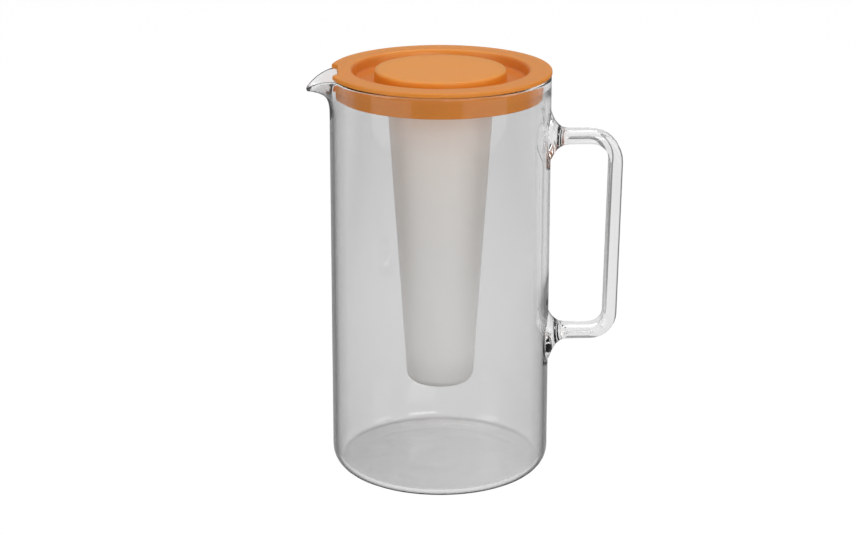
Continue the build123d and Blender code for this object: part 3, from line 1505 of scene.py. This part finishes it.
class Card(Enum):
    """The soft lamps round the pitcher."""

    OVERHEAD = "overhead"
    LEFT = "left"
    RIGHT = "right"
    FRONT = "front"


@dataclass(frozen=True)
class Lamp:
    """A rectangular soft lamp that points at a target, in metres and watts."""

    place: tuple[float, float, float]
    target: tuple[float, float, float]
    size: tuple[float, float]
    power: float


@dataclass
class Studio:
    """The paper, the lamps, the world and the camera at the photograph's angle.

    Args:
        azimuth: Degrees that the camera stands round from straight in front.
        pitch: Degrees that it looks down.
        distance: How far it stands from the pitcher's axis, in metres.
        height: Its height above the table, in metres.
        pan: Radians that it is turned aside.
        focal_share: Focal length as a share of the frame's width.
    """

    azimuth: float = -3.0
    pitch: float = 17.2181
    distance: float = 1.4288
    height: float = 0.5669
    pan: float = -0.0053
    focal_share: float = 2500 / 855
    sensor: float = 36.0
    ambient: float = 0.34
    shine: float = 0.48
    floor_level: float = -0.0004
    card_level: float = 0.002
    card_strength: float = 1.1
    cards: tuple[tuple[float, float, float, float], ...] = (
        (-76.0, -27.0, 0.93, 1.6),
        (19.0, 72.0, 0.93, 1.6),
    )
    flags: tuple[tuple[Point, Point, Point], ...] = (
        ((0.04, 0.41), (0.3, 0.37), (0.19, 0.262)),
        ((0.1325, 0.21), (0.1505, 0.208), (0.0, 0.156)),
    )
    lamps: dict[Card, Lamp] = field(
        default_factory=lambda: {
            Card.OVERHEAD: Lamp((0.0, 0.35, 1.5), (0.0, 0.0, 0.2), (1.6, 1.0), 11.5),
            Card.LEFT: Lamp((-1.3, -0.6, 0.7), (0.0, 0.0, 0.15), (0.6, 1.2), 4.8),
            Card.RIGHT: Lamp((1.4, -0.5, 0.7), (0.0, 0.0, 0.15), (0.6, 1.2), 4.8),
            Card.FRONT: Lamp((0.7, -2.2, 1.1), (0.0, 0.0, 0.1), (1.4, 0.8), 17.0),
        }
    )

    def paper(self) -> None:
        """Lays the white paper that the pitcher stands on."""
        mesh = bpy.data.meshes.new("studio_floor")
        half = 6.0
        mesh.from_pydata(
            [
                (x * half, y * half, self.floor_level)
                for x, y in ((-1, -1), (1, -1), (1, 1), (-1, 1))
            ],
            [],
            [(0, 1, 2, 3)],
        )
        floor = bpy.data.objects.new("studio_floor", mesh)
        bpy.context.scene.collection.objects.link(floor)
        mesh.materials.append(StudioPaper().material())

    def world(self) -> None:
        """Sets the plain white surround, brighter to the eye than as a light."""
        world = bpy.data.worlds.new("studio")
        bpy.context.scene.world = world
        world.use_nodes = True
        board = NodeBoard(world.node_tree)
        world.node_tree.nodes.clear()
        path = board.add("ShaderNodeLightPath")
        seen = board.math(
            "MAXIMUM",
            path.outputs["Is Camera Ray"],
            path.outputs["Is Transmission Ray"],
        )
        shine = board.math(
            "MULTIPLY", path.outputs["Is Glossy Ray"], self.shine - self.ambient
        )
        level = board.math("ADD", shine, self.ambient)
        surround = board.add("ShaderNodeBackground")
        surround.inputs["Color"].default_value = (1.0, 1.0, 1.0, 1.0)
        board.link(board.math("MAXIMUM", seen, level), surround.inputs["Strength"])
        output = board.add("ShaderNodeOutputWorld")
        board.link(surround.outputs["Background"], output.inputs["Surface"])

    def reflectors(self) -> None:
        """Lays the cards on the table that only show as soft streaks on the glass."""
        glow = GlowingCard(strength=self.card_strength).material()
        for i, (start, end, near, far) in enumerate(self.cards):
            mesh = bpy.data.meshes.new(f"reflector_{i}")
            corners = [
                (
                    reach * math.sin(math.radians(turn + self.azimuth)),
                    -reach * math.cos(math.radians(turn + self.azimuth)),
                    self.card_level,
                )
                for reach, turn in ((near, start), (near, end), (far, end), (far, start))
            ]
            mesh.from_pydata(corners, [], [(0, 1, 2, 3)])
            unwrapped = mesh.uv_layers.new(name="card")
            for loop, place in zip(unwrapped.data, ((0, 0), (1, 0), (1, 1), (0, 1))):
                loop.uv = place
            mesh.materials.append(glow)
            card = bpy.data.objects.new(f"reflector_{i}", mesh)
            bpy.context.scene.collection.objects.link(card)
            card.visible_camera = False
            card.visible_diffuse = False
            card.visible_transmission = False
            card.visible_shadow = False

    def dark_flags(self) -> None:
        """Stands the black cards behind, painted shade that draws dark lines in the solid glass
        rod.
        """
        scrim = DarkScrim().material()
        for i, (left, right, heights) in enumerate(self.flags):
            mesh = bpy.data.meshes.new(f"flag_{i}")
            low, high = heights
            mesh.from_pydata(
                [(*left, low), (*right, low), (*right, high), (*left, high)],
                [],
                [(0, 1, 2, 3)],
            )
            unwrapped = mesh.uv_layers.new(name="flag")
            for loop, place in zip(unwrapped.data, ((0, 0), (1, 0), (1, 1), (0, 1))):
                loop.uv = place
            mesh.materials.append(scrim)
            flag = bpy.data.objects.new(f"flag_{i}", mesh)
            bpy.context.scene.collection.objects.link(flag)
            flag.visible_camera = False
            flag.visible_diffuse = False
            flag.visible_glossy = False
            flag.visible_shadow = False

    def light(self) -> None:
        """Places the soft lamps."""
        for card, lamp in self.lamps.items():
            data = bpy.data.lights.new(f"lamp_{card.value}", "AREA")
            data.shape = "RECTANGLE"
            data.size, data.size_y = lamp.size
            data.energy = lamp.power
            obj = bpy.data.objects.new(f"lamp_{card.value}", data)
            obj.location = lamp.place
            away = Vector(lamp.target) - Vector(lamp.place)
            obj.rotation_euler = away.to_track_quat("-Z", "Y").to_euler()
            bpy.context.scene.collection.objects.link(obj)

    def camera(self) -> None:
        """Stands the camera where the photograph was taken from."""
        data = bpy.data.cameras.new("camera")
        data.sensor_width = self.sensor
        data.lens = self.sensor * self.focal_share
        data.clip_start = 0.05
        data.clip_end = 50.0
        camera = bpy.data.objects.new("camera", data)
        round_by = math.radians(self.azimuth)
        camera.location = (
            self.distance * math.sin(round_by),
            -self.distance * math.cos(round_by),
            self.height,
        )
        camera.rotation_euler = (
            math.pi / 2 - math.radians(self.pitch),
            0.0,
            round_by - self.pan,
        )
        bpy.context.scene.collection.objects.link(camera)
        bpy.context.scene.camera = camera

    def build(self) -> None:
        """Builds the whole studio."""
        self.paper()
        self.reflectors()
        self.dark_flags()
        self.world()
        self.light()
        self.camera()
        scene = bpy.context.scene
        scene.view_settings.view_transform = "Standard"
        # Light goes round many times inside the solid rod and the rim before it leaves
        scene.cycles.max_bounces = 32
        scene.cycles.glossy_bounces = 24
        scene.cycles.transmission_bounces = 24


# ---------------------------------------------------------------- main


OUTER_GLASS = WallGlass()
INNER_GLASS = FloorGlass()
RIM_GLASS = ClearGlass(
    name="clear_glass_rim",
    slants=((0.0, 0.88), (1.0, 0.84)),
)
ROD_GLASS = RodGlass()
ORANGE = LidPlastic(
    name="orange_plastic",
    colour=(0.79, 0.335, 0.03, 1.0),
    shade=(0.76, 0.32, 0.028, 1.0),
    roughness=0.42,
    translucence=0.3,
    scatter=0.12,
    scatter_radius=(0.004, 0.0015, 0.0006),
    specular=0.5,
    let_through=(0.95, 0.75, 0.55, 1.0),
)
FROSTED = FrostedPlastic(
    name="frosted_plastic",
    colour=(0.97, 0.965, 0.955, 1.0),
    shade=(0.95, 0.945, 0.93, 1.0),
    roughness=0.38,
    translucence=0.4,
    grain_depth=0.00002,
)
SILICONE = MouldedPlastic(
    name="seal_silicone",
    colour=(0.78, 0.77, 0.73, 1.0),
    shade=(0.75, 0.74, 0.7, 1.0),
    roughness=0.5,
    scatter=0.4,
)


def main() -> None:
    """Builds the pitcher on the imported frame, and the studio round it."""
    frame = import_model()
    effects = Effects()
    GlassJug().build(
        OUTER_GLASS.material(effects),
        INNER_GLASS.material(effects),
        RIM_GLASS.material(effects),
        ROD_GLASS.material(effects),
    )
    Lid().build(ORANGE.material(effects))
    IceCore().build(FROSTED.material(effects))
    seal = frame["nodes"]["core_seal"]
    seal.data.materials.clear()
    seal.data.materials.append(SILICONE.material(effects))
    Studio().build()


if __name__ == "__main__":
    logging.basicConfig(level=logging.INFO, format="%(name)s: %(message)s")
    main()
